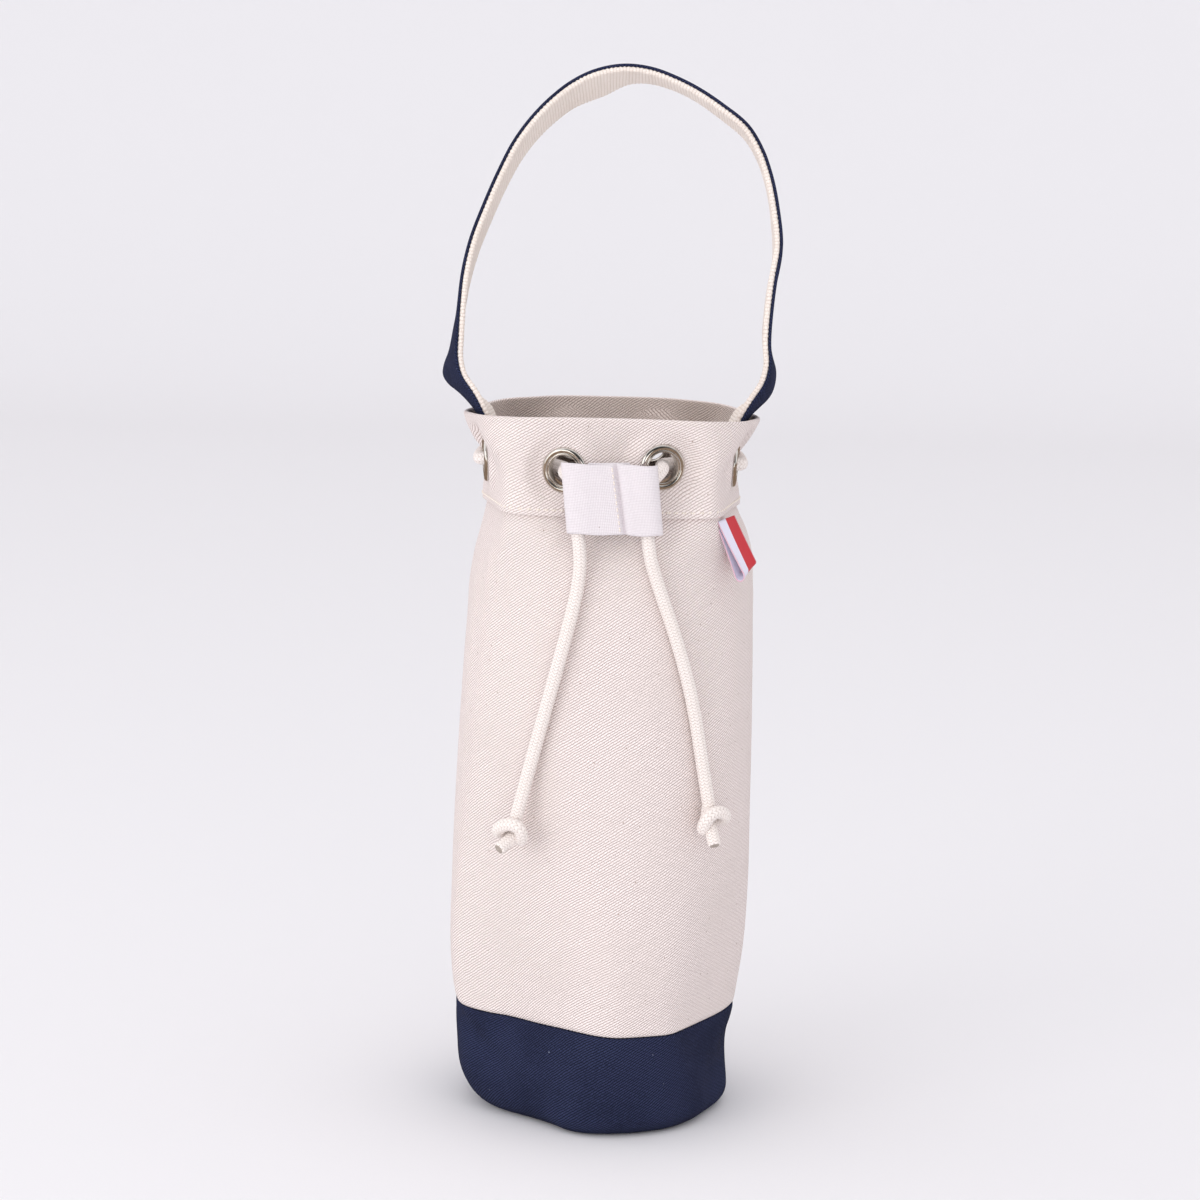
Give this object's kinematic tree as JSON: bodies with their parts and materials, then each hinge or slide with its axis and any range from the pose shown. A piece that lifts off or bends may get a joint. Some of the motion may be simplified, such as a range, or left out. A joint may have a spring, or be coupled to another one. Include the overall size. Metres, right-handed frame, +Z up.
{
  "type": "bottle carrier bag",
  "caption": "Cotton twill drawstring bottle bag with a navy foot, eyeletted collar, sliding cord stop, knotted cord tails, ribbon tab and an arched strap handle.",
  "frame": {"origin": "centre of the base's underside, on the surface that the bag stands on", "axes": "+Z up through the mouth, -Y the front with the cord stop, +X the side with the ribbon tab"},
  "size_m": [0.1295, 0.1282, 0.4222],
  "materials": {
    "natural_canvas": "undyed cotton twill",
    "navy_canvas": "navy cotton twill",
    "webbing": "ribbed cotton webbing",
    "stop_canvas": "plain-woven cotton",
    "cotton_cord": "knitted cotton cord",
    "nickel": "polished nickel plate",
    "ribbon": "striped woven ribbon"
  },
  "bodies": {
    "bag": {"body_panel": "natural_canvas", "collar_band": "natural_canvas", "base_band": "navy_canvas", "base_disc": "navy_canvas", "handle_root_left": "webbing", "handle_root_right": "webbing", "drawstring_lacing": "cotton_cord", "eyelet_1": "nickel", "eyelet_2": "nickel", "eyelet_3": "nickel", "eyelet_4": "nickel", "eyelet_5": "nickel", "eyelet_6": "nickel", "eyelet_7": "nickel", "eyelet_8": "nickel", "eyelet_washer_1": "nickel", "eyelet_washer_2": "nickel", "eyelet_washer_3": "nickel", "eyelet_washer_4": "nickel", "eyelet_washer_5": "nickel", "eyelet_washer_6": "nickel", "eyelet_washer_7": "nickel", "eyelet_washer_8": "nickel"},
    "handle": {"handle_cover": "navy_canvas", "handle_webbing": "webbing"},
    "cord_stop": {"cord_stop_sleeve": "stop_canvas"},
    "tail_left": {"drawstring_tail_left": "cotton_cord", "drawstring_knot_left": "cotton_cord"},
    "tail_right": {"drawstring_tail_right": "cotton_cord", "drawstring_knot_right": "cotton_cord"},
    "label": {"label_tab": "ribbon"}
  },
  "joints": [
    {"name": "handle_swing", "type": "hinge", "parent": "bag", "child": "handle", "pos_m": [0, 0, 0.2988], "axis": [1, 0, 0], "range_deg": [-75, 105]},
    {"name": "cord_stop_slide", "type": "slide", "parent": "bag", "child": "cord_stop", "axis": [0, -0.0331, -0.9995], "range_m": [0, 0.095], "deforming": ["drawstring_tail_left", "drawstring_tail_right"]},
    {"name": "tail_left_swing", "type": "hinge", "parent": "bag", "child": "tail_left", "pos_m": [-0.0135, -0.06155, 0.25], "axis": [-0.454, -0.891, 0], "range_deg": [-0.5, 12]},
    {"name": "tail_right_swing", "type": "hinge", "parent": "bag", "child": "tail_right", "pos_m": [0.0142, -0.06155, 0.25], "axis": [-0.515, 0.8572, 0], "range_deg": [-0.5, 17.5]},
    {"name": "label_flip", "type": "hinge", "parent": "bag", "child": "label", "pos_m": [0.04372, -0.03926, 0.2477], "axis": [-0.5956, -0.8033, 0], "range_deg": [0, 100]}
  ],
  "couplings": [
    {"joint": "tail_left_swing", "follows": "cord_stop_slide", "rad_per_m": 2.1128},
    {"joint": "tail_right_swing", "follows": "cord_stop_slide", "rad_per_m": 3.1232}
  ]
}
